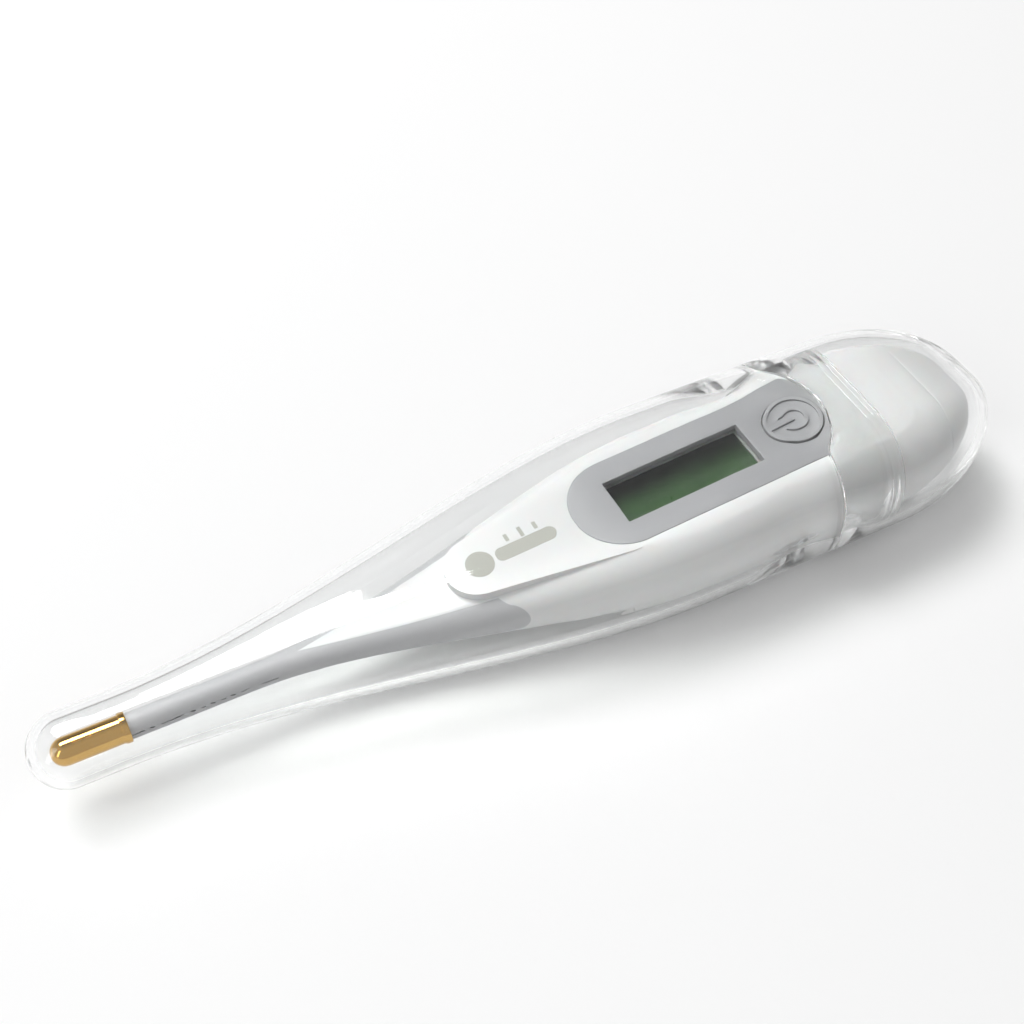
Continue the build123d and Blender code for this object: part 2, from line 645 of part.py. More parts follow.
export_step(power_button.part, "parts/power_button.step")

# ---- display stack ----
DISPLAY_SEAT = CARRIER_TOP + DISPLAY_SEAT_GAP + DISPLAY_THICKNESS
REFLECTOR_SEAT = DISPLAY_SEAT + REFLECTOR_THICKNESS
with BuildPart() as display_carrier:
    carrier_length = CARRIER_END - CARRIER_START
    carrier_centre = (CARRIER_START + CARRIER_END) / 2
    add(face_block(carrier_length, CARRIER_WIDTH, CARRIER_TOP, BOARD_DEPTH, carrier_centre))
    pocket_length = DISPLAY_LENGTH + 2 * DISPLAY_SEAT_GAP
    pocket_width = DISPLAY_WIDTH + 2 * DISPLAY_SEAT_GAP
    add(face_block(pocket_length, pocket_width, 0, REFLECTOR_SEAT, WINDOW_CENTRE), mode=Mode.SUBTRACT)
    for side in (-STRIP_OFFSET, STRIP_OFFSET):
        slot_length = STRIP_LENGTH + 2 * DISPLAY_SEAT_GAP
        slot_width = STRIP_WIDTH + 2 * DISPLAY_SEAT_GAP
        slot = face_block(slot_length, slot_width, CARRIER_TOP, BOARD_DEPTH, WINDOW_CENTRE, side)
        add(slot, mode=Mode.SUBTRACT)
    for side in (-SCREW_OFFSET, SCREW_OFFSET):
        screw_top = BOARD_DEPTH + BOARD_THICKNESS - SCREW_LENGTH
        screw_hole = face_disc(SCREW_CORE_DIAMETER, screw_top, BOARD_DEPTH, SCREW_CENTRE, side)
        add(screw_hole, mode=Mode.SUBTRACT)
display_carrier.part.label = "display_carrier"
export_step(display_carrier.part, "parts/display_carrier.step")

with BuildPart() as display_cell:
    display_top = CARRIER_TOP + DISPLAY_SEAT_GAP
    add(face_block(DISPLAY_LENGTH, DISPLAY_WIDTH, display_top, DISPLAY_SEAT, WINDOW_CENTRE))
display_cell.part.label = "display_cell"
export_step(display_cell.part, "parts/display_cell.step")

with BuildPart() as display_reflector:
    reflector_width = 2 * (STRIP_OFFSET - STRIP_WIDTH / 2 - DISPLAY_SEAT_GAP)
    add(face_block(STRIP_LENGTH, reflector_width, DISPLAY_SEAT, REFLECTOR_SEAT, WINDOW_CENTRE))
display_reflector.part.label = "display_reflector"
export_step(display_reflector.part, "parts/display_reflector.step")

with BuildPart() as contact_strips:
    for side in (-STRIP_OFFSET, STRIP_OFFSET):
        add(face_block(STRIP_LENGTH, STRIP_WIDTH, DISPLAY_SEAT, BOARD_DEPTH, WINDOW_CENTRE, side))
contact_strips.part.label = "contact_strips"
export_step(contact_strips.part, "parts/contact_strips.step")

# ---- circuit board and what is on it ----
BOARD_UNDERSIDE = BOARD_DEPTH + BOARD_THICKNESS
with BuildPart() as circuit_board:
    board_length = BOARD_END - BOARD_START
    add(face_block(board_length, BOARD_WIDTH, BOARD_DEPTH, BOARD_UNDERSIDE, (BOARD_START + BOARD_END) / 2))
    fillet(circuit_board.edges().filter_by(Axis(face.origin, face.z_dir)), 1.0)
    for side in (-SCREW_OFFSET, SCREW_OFFSET):
        screw_hole = face_disc(SCREW_CORE_DIAMETER, BOARD_DEPTH, BOARD_UNDERSIDE, SCREW_CENTRE, side)
        add(screw_hole, mode=Mode.SUBTRACT)
circuit_board.part.label = "circuit_board"
export_step(circuit_board.part, "parts/circuit_board.step")

with BuildPart() as carrier_screws:
    for side in (-SCREW_OFFSET, SCREW_OFFSET):
        head_bottom = BOARD_UNDERSIDE + SCREW_HEAD_HEIGHT
        add(face_disc(SCREW_HEAD_DIAMETER, BOARD_UNDERSIDE, head_bottom, SCREW_CENTRE, side))
        core_top = BOARD_UNDERSIDE - SCREW_LENGTH
        add(face_disc(SCREW_CORE_DIAMETER, core_top, BOARD_UNDERSIDE, SCREW_CENTRE, side))
carrier_screws.part.label = "carrier_screws"
export_step(carrier_screws.part, "parts/carrier_screws.step")

dome_radius = DOME_SWITCH_DIAMETER / 2
dome_curve = (dome_radius**2 + DOME_SWITCH_HEIGHT**2) / (2 * DOME_SWITCH_HEIGHT)
switch_plane = Plane(face.offset(-BOARD_DEPTH).from_local_coords((BUTTON_CENTRE, 0, 0)), face.x_dir, face.z_dir)
with BuildPart() as dome_switch:
    with BuildSketch(Plane(switch_plane.origin, switch_plane.x_dir, -switch_plane.y_dir)):
        with BuildLine():
            ThreePointArc(
                (dome_radius, 0),
                (dome_radius / 2, sqrt(dome_curve**2 - (dome_radius / 2) ** 2) - dome_curve + DOME_SWITCH_HEIGHT),
                (0, DOME_SWITCH_HEIGHT),
            )
            Line((0, DOME_SWITCH_HEIGHT), (0, DOME_SWITCH_HEIGHT - DOME_SWITCH_SHEET))
            Line((0, DOME_SWITCH_HEIGHT - DOME_SWITCH_SHEET), (dome_radius - 2 * DOME_SWITCH_SHEET, 0))
            Line((dome_radius - 2 * DOME_SWITCH_SHEET, 0), (dome_radius, 0))
        make_face()
    revolve(axis=Axis(switch_plane.origin, switch_plane.z_dir))
dome_switch.part.label = "dome_switch"
export_step(dome_switch.part, "parts/dome_switch.step")

with BuildPart() as controller_blob:
    add(face_disc(BLOB_DIAMETER, BOARD_UNDERSIDE, BOARD_UNDERSIDE + BLOB_HEIGHT, BLOB_CENTRE))
    fillet(controller_blob.edges().sort_by(Axis.Z)[0], BLOB_HEIGHT * 0.8)
controller_blob.part.label = "controller_blob"
export_step(controller_blob.part, "parts/controller_blob.step")

with BuildPart() as timing_crystal:
    crystal_middle = face.offset(-BOARD_UNDERSIDE - CRYSTAL_DIAMETER / 2)
    crystal_start = crystal_middle.from_local_coords((CRYSTAL_CENTRE - CRYSTAL_LENGTH / 2, 0, 0))
    with BuildSketch(Plane(crystal_start, face.z_dir, face.x_dir)):
        Circle(CRYSTAL_DIAMETER / 2)
    extrude(amount=CRYSTAL_LENGTH)
timing_crystal.part.label = "timing_crystal"
export_step(timing_crystal.part, "parts/timing_crystal.step")

with BuildPart() as chip_parts:
    length, width, height = CHIP_SIZE
    for place, side in CHIP_PLACES:
        add(face_block(length, width, BOARD_UNDERSIDE, BOARD_UNDERSIDE + height, place, side))
chip_parts.part.label = "chip_parts"
export_step(chip_parts.part, "parts/chip_parts.step")

# ---- buzzer ----
with BuildPart() as buzzer_plate:
    add(post(BUZZER_DIAMETER, BUZZER_SHEET, BUZZER_X, 0, BUZZER_SEAT_Z))
buzzer_plate.part.label = "buzzer_plate"
export_step(buzzer_plate.part, "parts/buzzer_plate.step")

with BuildPart() as buzzer_ceramic:
    add(post(CERAMIC_DIAMETER, CERAMIC_SHEET, BUZZER_X, 0, BUZZER_SEAT_Z - CERAMIC_SHEET))
buzzer_ceramic.part.label = "buzzer_ceramic"
export_step(buzzer_ceramic.part, "parts/buzzer_ceramic.step")

with BuildPart() as buzzer_leads:
    lead_low = BUZZER_SEAT_Z + BUZZER_SHEET
    for side in (-BUZZER_LEAD_SPACING / 2, BUZZER_LEAD_SPACING / 2):
        add(post(LEAD_DIAMETER, face_height(BUZZER_X) - lead_low, BUZZER_X, side, lead_low))
    split(bisect_by=face.offset(-BOARD_UNDERSIDE), keep=Keep.BOTTOM)
buzzer_leads.part.label = "buzzer_leads"
export_step(buzzer_leads.part, "parts/buzzer_leads.step")

# ---- battery, its tray and contacts ----
CELL_TOP_Z = CELL_BOTTOM_Z + CELL_HEIGHT
CELL_FLOOR_Z = CELL_BOTTOM_Z - CONTACT_SHEET
TRAY_START_X = CELL_X - TRAY_LENGTH / 2
with BuildPart() as battery_cell:
    add(post(CELL_DIAMETER, CELL_HEIGHT, CELL_X, 0, CELL_BOTTOM_Z))
    fillet(battery_cell.edges().group_by(Axis.Z)[0], CELL_CLEARANCE * 3)
battery_cell.part.label = "battery_cell"
export_step(battery_cell.part, "parts/battery_cell.step")

with BuildPart() as battery_tray:
    add(plate(TRAY_LENGTH, TRAY_WIDTH, CELL_TOP_Z - TRAY_FLOOR_Z, CELL_X, 0, TRAY_FLOOR_Z))
    add(post(CELL_DIAMETER + 2 * CELL_CLEARANCE, CELL_HEIGHT + 1, CELL_X, 0, CELL_BOTTOM_Z), mode=Mode.SUBTRACT)
    slot_length = TRAY_LENGTH - TRAY_END_WALL
    slot = plate(slot_length, CONTACT_WIDTH, CELL_HEIGHT, TRAY_START_X + slot_length / 2, 0, CELL_FLOOR_Z)
    add(slot, mode=Mode.SUBTRACT)
battery_tray.part.label = "battery_tray"
export_step(battery_tray.part, "parts/battery_tray.step")

with BuildPart() as contact_negative:
    foot_x = TRAY_START_X - CONTACT_SHEET / 2
    strip_length = TRAY_LENGTH - TRAY_END_WALL - 1
    riser_width = CONTACT_WIDTH / 2
    foot_width = CONTACT_WIDTH + riser_width
    add(plate(strip_length, CONTACT_WIDTH, CONTACT_SHEET, TRAY_START_X + strip_length / 2, 0, CELL_FLOOR_Z))
    add(plate(CONTACT_SHEET, foot_width, CONTACT_SHEET, foot_x, riser_width / 2, CELL_FLOOR_Z))
    add(plate(CONTACT_SHEET, riser_width, CELL_HEIGHT * 2, foot_x, foot_width / 2, CELL_FLOOR_Z))
    split(bisect_by=face.offset(-BOARD_UNDERSIDE), keep=Keep.BOTTOM)
contact_negative.part.label = "contact_negative"
export_step(contact_negative.part, "parts/contact_negative.step")

with BuildPart() as contact_positive:
    strip_start = TRAY_START_X - TRAY_LENGTH / 2
    strip_end = CELL_X + CELL_DIAMETER / 4
    strip_centre = (strip_start + strip_end) / 2
    add(plate(strip_end - strip_start, CONTACT_WIDTH, CONTACT_SHEET, strip_centre, 0, CELL_TOP_Z))
    split(bisect_by=face.offset(-BOARD_UNDERSIDE), keep=Keep.BOTTOM)
contact_positive.part.label = "contact_positive"
export_step(contact_positive.part, "parts/contact_positive.step")
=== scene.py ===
"""Digital thermometer with a flexible probe, closed inside its clear two-part travel case.

Lengths are metres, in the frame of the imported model: X runs from the probe tip to the battery
end, Z is up, and the case lies on Z = 0.
"""

import json
import logging
from dataclasses import dataclass, field
from enum import Enum
from math import cos, pi, radians, sin, sqrt
from typing import Callable, Optional

import bmesh
import bpy
from mathutils import Matrix, Vector

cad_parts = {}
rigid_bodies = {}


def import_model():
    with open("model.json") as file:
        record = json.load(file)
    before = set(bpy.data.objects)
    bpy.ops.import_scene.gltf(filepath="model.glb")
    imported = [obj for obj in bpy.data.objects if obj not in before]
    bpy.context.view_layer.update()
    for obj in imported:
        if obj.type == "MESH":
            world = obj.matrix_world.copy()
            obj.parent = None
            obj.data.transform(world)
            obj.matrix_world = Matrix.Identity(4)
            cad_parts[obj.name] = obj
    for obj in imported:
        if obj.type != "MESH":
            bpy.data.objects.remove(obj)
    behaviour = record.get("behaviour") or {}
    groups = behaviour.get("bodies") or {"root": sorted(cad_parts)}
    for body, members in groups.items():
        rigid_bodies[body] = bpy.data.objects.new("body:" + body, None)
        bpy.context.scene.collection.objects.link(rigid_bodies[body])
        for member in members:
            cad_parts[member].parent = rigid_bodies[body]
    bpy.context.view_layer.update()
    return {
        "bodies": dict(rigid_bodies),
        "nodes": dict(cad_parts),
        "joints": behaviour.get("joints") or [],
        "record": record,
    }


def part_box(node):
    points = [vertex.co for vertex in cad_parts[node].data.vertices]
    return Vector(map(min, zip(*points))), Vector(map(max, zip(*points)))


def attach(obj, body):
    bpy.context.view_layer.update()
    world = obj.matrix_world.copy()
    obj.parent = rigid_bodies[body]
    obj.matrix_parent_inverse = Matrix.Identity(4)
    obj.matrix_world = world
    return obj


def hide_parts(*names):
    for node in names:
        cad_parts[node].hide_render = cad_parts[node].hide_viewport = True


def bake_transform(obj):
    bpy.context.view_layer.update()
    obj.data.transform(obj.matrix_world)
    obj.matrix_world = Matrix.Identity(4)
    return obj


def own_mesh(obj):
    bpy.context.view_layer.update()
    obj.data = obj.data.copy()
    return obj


MM = 0.001
log = logging.getLogger("thermometer")


# ---------------------------------------------------------------- small sums
def mix(low: float, high: float, share: float) -> float:
    """Return the value that lies the given share of the way from low to high."""
    return low + (high - low) * share


def ease(x: float, start: float, length: float) -> float:
    """Share of a flare at a station.

    Args:
        x: Station along the length.
        start: Where the flare starts.
        length: How long the flare is.

    Returns:
        A share from 0 to 1 that leaves and arrives smoothly.
    """
    share = min(max((x - start) / length, 0.0), 1.0)
    return share * share * (3 - 2 * share)


def dome_share(x: float, start: float, end: float) -> float:
    """Size of a round end at a station.

    Args:
        x: Station along the length.
        start: Where the round end starts.
        end: Where it closes.

    Returns:
        1 where the round end starts, falling to 0 where it closes.
    """
    share = min(max((x - start) / (end - start), 0.0), 1.0)
    return sqrt(1 - share * share)


def dome_stations(start: float, end: float, steps: int) -> list[float]:
    """Stations along a round end, crowded towards its pole.

    Args:
        start: Where the round end starts.
        end: Where it closes.
        steps: How many equal turns of the curve are taken.

    Returns:
        Stations from the one after the start to the one just before the pole.
    """
    return [start + (end - start) * sin(pi / 2 * step / steps) for step in range(1, steps)]


# ---------------------------------------------------------------- selection and edit mode
def deselect_all() -> None:
    """Leave every object unselected, the loaded model's own nodes among them."""
    if bpy.context.object and bpy.context.object.mode != "OBJECT":
        bpy.ops.object.mode_set(mode="OBJECT")
    bpy.ops.object.select_all(action="DESELECT")


def only(obj: bpy.types.Object) -> None:
    """Make one object the selected and active one."""
    deselect_all()
    obj.select_set(True)
    bpy.context.view_layer.objects.active = obj


def edit(obj: bpy.types.Object) -> bmesh.types.BMesh:
    """Open one object in edit mode and return its edit mesh."""
    only(obj)
    bpy.ops.object.mode_set(mode="EDIT")
    bpy.ops.mesh.select_mode(type="VERT")
    return bmesh.from_edit_mesh(obj.data)


def choose(obj: bpy.types.Object, test: Callable[[Vector], bool]) -> int:
    """Select the vertices of an open edit mesh whose place passes a test.

    Args:
        obj: The object that is in edit mode.
        test: Takes a vertex's place and says whether it is chosen.

    Returns:
        How many vertices were selected.
    """
    mesh = bmesh.from_edit_mesh(obj.data)
    for vertex in mesh.verts:
        vertex.select_set(test(vertex.co))
    mesh.select_flush_mode()
    bmesh.update_edit_mesh(obj.data)
    return sum(vertex.select for vertex in mesh.verts)


def close_edit(obj: bpy.types.Object, angle: float) -> None:
    """Leave edit mode with the faces turned outwards and the edges shaded by angle.

    Args:
        obj: The object that is in edit mode.
        angle: Turn in degrees up to which neighbouring faces are shaded as one skin.
    """
    bpy.ops.mesh.select_all(action="SELECT")
    bpy.ops.mesh.normals_make_consistent(inside=False)
    bpy.ops.mesh.select_all(action="DESELECT")
    bpy.ops.object.mode_set(mode="OBJECT")
    only(obj)
    bpy.ops.object.shade_smooth_by_angle(angle=radians(angle))


def apply_modifiers(obj: bpy.types.Object) -> None:
    """Apply an object's modifiers in order."""
    only(obj)
    for modifier in list(obj.modifiers):
        bpy.ops.object.modifier_apply(modifier=modifier.name)


def settle(obj: bpy.types.Object) -> None:
    """Put an object's place, turn and size into its mesh."""
    only(obj)
    bpy.ops.object.transform_apply(location=True, rotation=True, scale=True)


def join(parts: list[bpy.types.Object], name: str) -> bpy.types.Object:
    """Join several objects into one.

    Args:
        parts: The objects, which are used up.
        name: The joined object's name.

    Returns:
        The joined object.
    """
    only(parts[0])
    for part in parts[1:]:
        part.select_set(True)
    bpy.ops.object.join()
    bpy.context.object.name = name
    return bpy.context.object


# ---------------------------------------------------------------- finishes
def linear(code: str) -> tuple[float, float, float, float]:
    """Turn an sRGB hex colour into linear red, green, blue and alpha."""
    shares = [int(code[at:at + 2], 16) / 255 for at in (1, 3, 5)]
    values = [s / 12.92 if s <= 0.04045 else ((s + 0.055) / 1.055) ** 2.4 for s in shares]
    return (*values, 1.0)


def add_node(tree: bpy.types.NodeTree, kind: str, settings: Optional[dict] = None,
             **links: object) -> bpy.types.Node:
    """Add one node with its settings, and feed its inputs.

    Args:
        tree: The material's node tree.
        kind: The node's type name.
        settings: Properties of the node itself.
        links: Input names, with underscores for spaces, and either an output socket or a value.

    Returns:
        The new node.
    """
    node = tree.nodes.new(kind)
    for key, value in (settings or {}).items():
        setattr(node, key, value)
    for key, value in links.items():
        place = int(key[1:]) if key[1:].isdigit() else key.replace("_", " ")
        socket = node.inputs[place]
        if isinstance(value, bpy.types.NodeSocket):
            tree.links.new(value, socket)
        else:
            socket.default_value = value
    return node


class Grain(Enum):
    """How a finish varies over its surface."""

    MOULDED = "fine even grain left by the mould"
    DRAWN = "long fine lines along the length"
    SPECKLED = "glass cloth or powder grain"


@dataclass(frozen=True)
class Finish:
    """An opaque or clear finish with a fine grain in its colour, roughness and relief."""

    name: str
    colour: str
    shade: str
    roughness: float = 0.4
    metallic: float = 0.0
    ior: float = 1.5
    transmission: float = 0.0
    coat: float = 0.0
    grain: Grain = Grain.MOULDED
    grain_size: float = 0.4 * MM
    relief: float = 0.02 * MM
    roughness_spread: float = 0.06
    subsurface: float = 0.0

    def material(self) -> bpy.types.Material:
        """Make the material once and return it."""
        known = bpy.data.materials.get(self.name)
        if known:
            return known
        material = bpy.data.materials.new(self.name)
        material.use_nodes = True
        tree = material.node_tree
        tree.nodes.clear()
        noise = self.pattern(tree)
        tone = add_node(tree, "ShaderNodeMix", {"data_type": "RGBA"}, Factor=noise,
                        i6=linear(self.colour), i7=linear(self.shade))
        rough = add_node(tree, "ShaderNodeMapRange", None, Value=noise,
                         To_Min=max(self.roughness - self.roughness_spread, 0.0),
                         To_Max=self.roughness + self.roughness_spread)
        bump = add_node(tree, "ShaderNodeBump", None, Height=noise, Strength=0.5,
                        Distance=self.relief)
        shader = add_node(tree, "ShaderNodeBsdfPrincipled", None, Base_Color=tone.outputs[2],
                          Roughness=rough.outputs["Result"], Normal=bump.outputs["Normal"],
                          Metallic=self.metallic, Transmission_Weight=self.transmission,
                          Coat_Weight=self.coat)
        if not self.metallic:
            shader.inputs["IOR"].default_value = self.ior
        if self.subsurface:
            shader.inputs["Subsurface Weight"].default_value = self.subsurface
            shader.inputs["Subsurface Scale"].default_value = 1.0 * MM
        add_node(tree, "ShaderNodeOutputMaterial", None, Surface=shader.outputs["BSDF"])
        return material

    def pattern(self, tree: bpy.types.NodeTree) -> bpy.types.NodeSocket:
        """Add the grain.

        Args:
            tree: The material's node tree.

        Returns:
            The output that carries the grain, from 0 to 1.
        """
        stretch = {Grain.DRAWN: (0.04, 1.0, 1.0)}.get(self.grain, (1.0, 1.0, 1.0))
        place = add_node(tree, "ShaderNodeTexCoord")
        mapped = add_node(tree, "ShaderNodeMapping", None, Vector=place.outputs["Object"],
                          Scale=stretch)
        detail = {Grain.SPECKLED: 6.0}.get(self.grain, 3.0)
        noise = add_node(tree, "ShaderNodeTexNoise", None, Vector=mapped.outputs["Vector"],
                         Scale=1 / self.grain_size, Detail=detail)
        return noise.outputs["Fac"]

    def dress(self, obj: bpy.types.Object) -> None:
        """Put the finish on an object in place of whatever it has."""
        if obj.data.materials:
            for place in range(len(obj.data.materials)):
                obj.material_slots[place].link = "DATA"
                obj.data.materials[place] = self.material()
        else:
            obj.data.materials.append(self.material())


@dataclass(frozen=True)
class ClearFinish(Finish):
    """Clear moulded plastic that light passes through, so that it throws only a faint shadow."""

    shadow: str = "#E4E5E4"

    def material(self) -> bpy.types.Material:
        """Make the material once and return it."""
        known = bpy.data.materials.get(self.name)
        if known:
            return known
        material = super().material()
        tree = material.node_tree
        output = next(node for node in tree.nodes if node.type == "OUTPUT_MATERIAL")
        shader = next(node for node in tree.nodes if node.type == "BSDF_PRINCIPLED")
        path = add_node(tree, "ShaderNodeLightPath")
        through = add_node(tree, "ShaderNodeBsdfTransparent", None, Color=linear(self.shadow))
        both = add_node(tree, "ShaderNodeMixShader", None, i0=path.outputs["Is Shadow Ray"],
                        i1=shader.outputs["BSDF"], i2=through.outputs["BSDF"])
        tree.links.new(both.outputs["Shader"], output.inputs["Surface"])
        return material


@dataclass(frozen=True)
class DisplayFinish(Finish):
    """Liquid crystal glass, switched off: green-grey behind a polariser, with painted shade and painted
    reflection of the window walls that darken it towards one edge.
    """

    # Painted shade: the colour and the band where the window walls' shadow and reflection are painted
    # in, darkening the cell towards its far edge.
    painted_shade_colour: str = "#060A06"
    painted_shade_edge_y: float = 3.9 * MM
    painted_shade_start_y: float = -2.6 * MM

    def material(self) -> bpy.types.Material:
        """Make the material once and return it."""
        known = bpy.data.materials.get(self.name)
        if known:
            return known
        material = super().material()
        tree = material.node_tree
        shader = next(node for node in tree.nodes if node.type == "BSDF_PRINCIPLED")
        tone = shader.inputs["Base Color"].links[0].from_socket
        # Painted shade and reflection: the cell's colour is darkened towards one edge, along a wavy
        # border, in place of the window walls' shadow and reflection.
        place = add_node(tree, "ShaderNodeTexCoord")
        split = add_node(tree, "ShaderNodeSeparateXYZ", None, Vector=place.outputs["Object"])
        cloud = add_node(tree, "ShaderNodeTexNoise", None, Vector=place.outputs["Object"],
                         Scale=1 / (4 * MM), Detail=2.0)
        drift = add_node(tree, "ShaderNodeMath", {"operation": "MULTIPLY_ADD"}, i0=cloud.outputs["Fac"],
                         i1=1.6 * MM, i2=split.outputs["Y"])
        painted_shade_share = add_node(tree, "ShaderNodeMapRange", {"interpolation_type": "SMOOTHSTEP"},
                        Value=drift.outputs["Value"], From_Min=self.painted_shade_start_y,
                        From_Max=self.painted_shade_edge_y)
        painted_shade_tone = add_node(tree, "ShaderNodeMix", {"data_type": "RGBA"}, Factor=painted_shade_share.outputs["Result"],
                          i6=tone, i7=linear(self.painted_shade_colour))
        tree.links.new(painted_shade_tone.outputs[2], shader.inputs["Base Color"])
        return material


# Clear styrene, injection moulded and polished: sharp reflections and faint flow ripples.
CLEAR_STYRENE = ClearFinish("Clear styrene", "#FFFFFF", "#FCFDFD", roughness=0.025, ior=1.57,
                            transmission=1.0, grain_size=9 * MM, relief=0.05 * MM,
                            roughness_spread=0.01)
# White ABS, moulded in a polished tool: bright, slightly soft highlights.
WHITE_ABS = Finish("White ABS", "#D6D6D6", "#D2D2D2", roughness=0.3, grain_size=0.5 * MM,
                   relief=0.004 * MM, subsurface=0.15)
# Grey thermoplastic elastomer, moulded against a matt tool: wide dull highlights.
GREY_ELASTOMER = Finish("Grey elastomer", "#B2B2B4", "#ABABAD", roughness=0.5, grain_size=0.35 * MM,
                        relief=0.012 * MM)
# Grey ABS with fine spark-eroded texture: even and satin.
GREY_ABS = Finish("Grey ABS", "#99999B", "#949496", roughness=0.42, grain_size=0.25 * MM,
                  relief=0.008 * MM)
# Gold-plated stainless steel: warm mirror with fine drawing lines.
GOLD_PLATE = Finish("Gold plated steel", "#D8AF62", "#CBA050", roughness=0.1, metallic=1.0,
                    grain=Grain.DRAWN, grain_size=0.2 * MM, relief=0.002 * MM, roughness_spread=0.03)
# Clear acrylic, cast sheet, polished: a hard flat reflection over the display.
CLEAR_ACRYLIC = ClearFinish("Clear acrylic", "#FFFFFF", "#FDFEFD", roughness=0.015, ior=1.49,
                            transmission=1.0, grain_size=6 * MM, relief=0.01 * MM,
                            roughness_spread=0.005)
# Liquid crystal cell behind a polariser film: satin green-grey, darkened towards the far edge by
# painted shade and painted reflection of the window walls.
LIQUID_CRYSTAL = DisplayFinish("Liquid crystal glass", "#46683F", "#3E5F38", roughness=0.3,
                               grain_size=0.5 * MM, relief=0.002 * MM)
# Pad-printed ink: flat, matt, grey-olive.
PRINT_INK = Finish("Pad printing ink", "#AAAAA2", "#A2A29A", roughness=0.6, grain_size=0.3 * MM,
                   relief=0.003 * MM)
# Black nitrile rubber, moulded: dull black.
BLACK_RUBBER = Finish("Nitrile rubber", "#1C1C1D", "#232324", roughness=0.7, grain_size=0.3 * MM)
# Epoxy resin, cured dark: glossy and uneven.
DARK_RESIN = Finish("Epoxy resin", "#17181A", "#1F2022", roughness=0.25, grain_size=1.2 * MM, coat=0.3)
# Glass-epoxy board under green solder resist: cloth grain below a gloss.
BOARD_RESIST = Finish("Solder resist on glass epoxy", "#1E5B36", "#184C2C", roughness=0.35,
                      grain=Grain.SPECKLED, grain_size=0.5 * MM, coat=0.3)
# Enamelled copper wire, drawn: warm and shiny.
COPPER_WIRE = Finish("Enamelled copper", "#B5673A", "#A55A30", roughness=0.3, metallic=1.0,
                     grain=Grain.DRAWN, grain_size=0.15 * MM)
# Spring steel, rolled: cool satin.
SPRING_STEEL = Finish("Spring steel", "#B9BBBD", "#A9ABAE", roughness=0.28, metallic=1.0,
                      grain=Grain.DRAWN, grain_size=0.15 * MM)
# Brass sheet, rolled and stamped: yellow satin.
BRASS_SHEET = Finish("Brass sheet", "#C9A65A", "#BC974B", roughness=0.32, metallic=1.0,
                     grain=Grain.DRAWN, grain_size=0.2 * MM)
# Lead zirconate ceramic with a fired silver face: chalky grey-white.
BUZZER_CERAMIC = Finish("Fired ceramic", "#C9C7C0", "#BAB8B1", roughness=0.6, grain=Grain.SPECKLED,
                        grain_size=0.25 * MM)
# Reflector film: pearly white.
REFLECTOR_FILM = Finish("Pearl reflector film", "#DDE0DC", "#D2D6D1", roughness=0.4, coat=0.4)


# ---------------------------------------------------------------- skins drawn along the length
@dataclass(frozen=True)
class Section:
    """One rounded section across the length."""

    x: float
    half_width: float
    bottom: float
    top: float
    roundness: float
    tab_gap: Optional[float] = None

    CORNER_STEPS = 12
    FLAT_STEPS = 4

    @classmethod
    def sides(cls) -> int:
        """Return how many points each section has."""
        return 4 * (cls.CORNER_STEPS + cls.FLAT_STEPS)

    def outline(self) -> list[tuple[float, float]]:
        """Return the section's points as (y, z), once round."""
        half_height = (self.top - self.bottom) / 2
        middle = (self.top + self.bottom) / 2
        radius = self.roundness * min(self.half_width, half_height)
        reach_y, reach_z = self.half_width - radius, half_height - radius
        points = []
        for quarter, (side_y, side_z) in enumerate(((1, 1), (-1, 1), (-1, -1), (1, -1))):
            for step in range(self.CORNER_STEPS + 1):
                angle = (quarter + step / self.CORNER_STEPS) * pi / 2
                points.append((side_y * reach_y + radius * cos(angle),
                               middle + side_z * reach_z + radius * sin(angle)))
            last_y, last_z = points[-1]
            along_y = -2 * reach_y * (1 if quarter == 0 else -1) if quarter % 2 == 0 else 0.0
            along_z = -2 * reach_z * (1 if quarter == 1 else -1) if quarter % 2 == 1 else 0.0
            for step in range(1, self.FLAT_STEPS):
                share = step / self.FLAT_STEPS
                points.append((last_y + along_y * share, last_z + along_z * share))
        return points


def draw_skin(name: str, sections: list[Section], parting: "Parting", angle: float) -> bpy.types.Object:
    """Draw one closed skin by extruding a ring from section to section.

    Args:
        name: The object's name.
        sections: The sections in order, from the pole of one end to the pole of the other.
        parting: The line where sleeve and cap meet, which sections with a tab gap follow.
        angle: Turn in degrees up to which faces are shaded as one skin.

    Returns:
        The closed skin.
    """
    deselect_all()
    bpy.ops.mesh.primitive_circle_add(vertices=Section.sides(), radius=MM)
    obj = bpy.context.object
    obj.name = name
    mesh = edit(obj)
    mesh.verts.ensure_lookup_table()
    first = ring = [mesh.verts[place] for place in range(Section.sides())]
    bpy.ops.mesh.select_all(action="SELECT")
    for place, section in enumerate(sections):
        if place:
            bpy.ops.mesh.extrude_region_move()
            ring = [next(edge.other_vert(v) for edge in v.link_edges if edge.other_vert(v).select)
                    for v in ring]
        for vertex, (y, z) in zip(ring, section.outline()):
            vertex.co = (parting.station(section, y, z), y, max(z, 0.0))
        bmesh.update_edit_mesh(obj.data)
    for end in (ring, first):
        bpy.ops.mesh.select_all(action="DESELECT")
        for vertex in end:
            vertex.select_set(True)
        mesh.select_flush_mode()
        bpy.ops.mesh.merge(type="CENTER")
    close_edit(obj, angle)
    return obj


